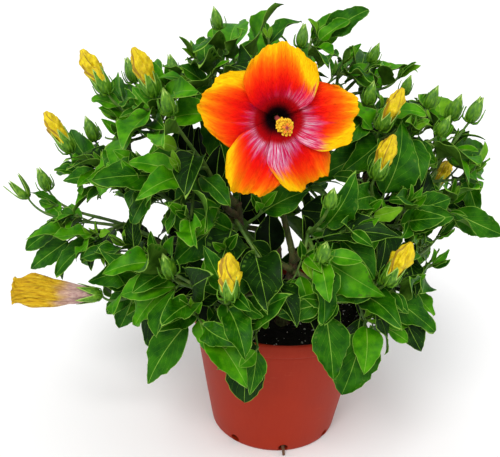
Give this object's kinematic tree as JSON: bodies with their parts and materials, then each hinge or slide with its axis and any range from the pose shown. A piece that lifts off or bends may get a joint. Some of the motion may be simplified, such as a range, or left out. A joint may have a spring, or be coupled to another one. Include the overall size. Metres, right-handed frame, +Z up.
{
  "type": "potted hibiscus shrub",
  "caption": "Bushy hibiscus shrub in a round terracotta-red nursery pot, with one large open bloom, furled yellow blooms and green buds.",
  "frame": {"origin": "centre of the pot's flat underside", "axes": "+Z up; -Y towards the front of the plant, where its open bloom looks; +X to the right as seen from the front"},
  "size_m": [0.4405, 0.3693, 0.4004],
  "materials": {
    "pot": "satin",
    "soil": "matte",
    "bark": "matte",
    "leaf": "satin",
    "petal": "satin"
  },
  "bodies": {
    "root": {"pot": "pot", "soil": "soil", "stem_west": "bark", "stem_front": "bark", "stem_east": "bark", "stem_north": "bark", "bough_bloom": "bark", "bough_left_high": "bark", "bough_left_mid": "bark", "bough_left_far": "bark", "bough_left_low": "bark", "bough_front_left_high": "bark", "bough_front_left_low": "bark", "bough_front_centre": "bark", "bough_front_mid": "bark", "bough_front_right_low": "bark", "bough_right_low": "bark", "bough_right_mid": "bark", "bough_right_far": "bark", "bough_right_high": "bark", "bough_top_right": "bark", "bough_top_left": "bark", "bough_back_left_high": "bark", "bough_back_left_low": "bark", "bough_back_high": "bark", "bough_back_low": "bark", "bough_back_right_high": "bark", "bough_back_right_low": "bark", "bloom": "petal", "foliage_left_high": "leaf", "foliage_left_mid": "leaf", "foliage_left_far": "leaf", "foliage_left_low": "leaf", "foliage_front_left_high": "leaf", "foliage_front_left_low": "leaf", "foliage_front_centre": "leaf", "foliage_front_mid": "leaf", "foliage_front_right_low": "leaf", "foliage_right_low": "leaf", "foliage_right_mid": "leaf", "foliage_right_far": "leaf", "foliage_right_high": "leaf", "foliage_top_right": "leaf", "foliage_top_left": "leaf", "foliage_back_left_high": "leaf", "foliage_back_left_low": "leaf", "foliage_back_high": "leaf", "foliage_back_low": "leaf", "foliage_back_right_high": "leaf", "foliage_back_right_low": "leaf"}
  },
  "joints": []
}
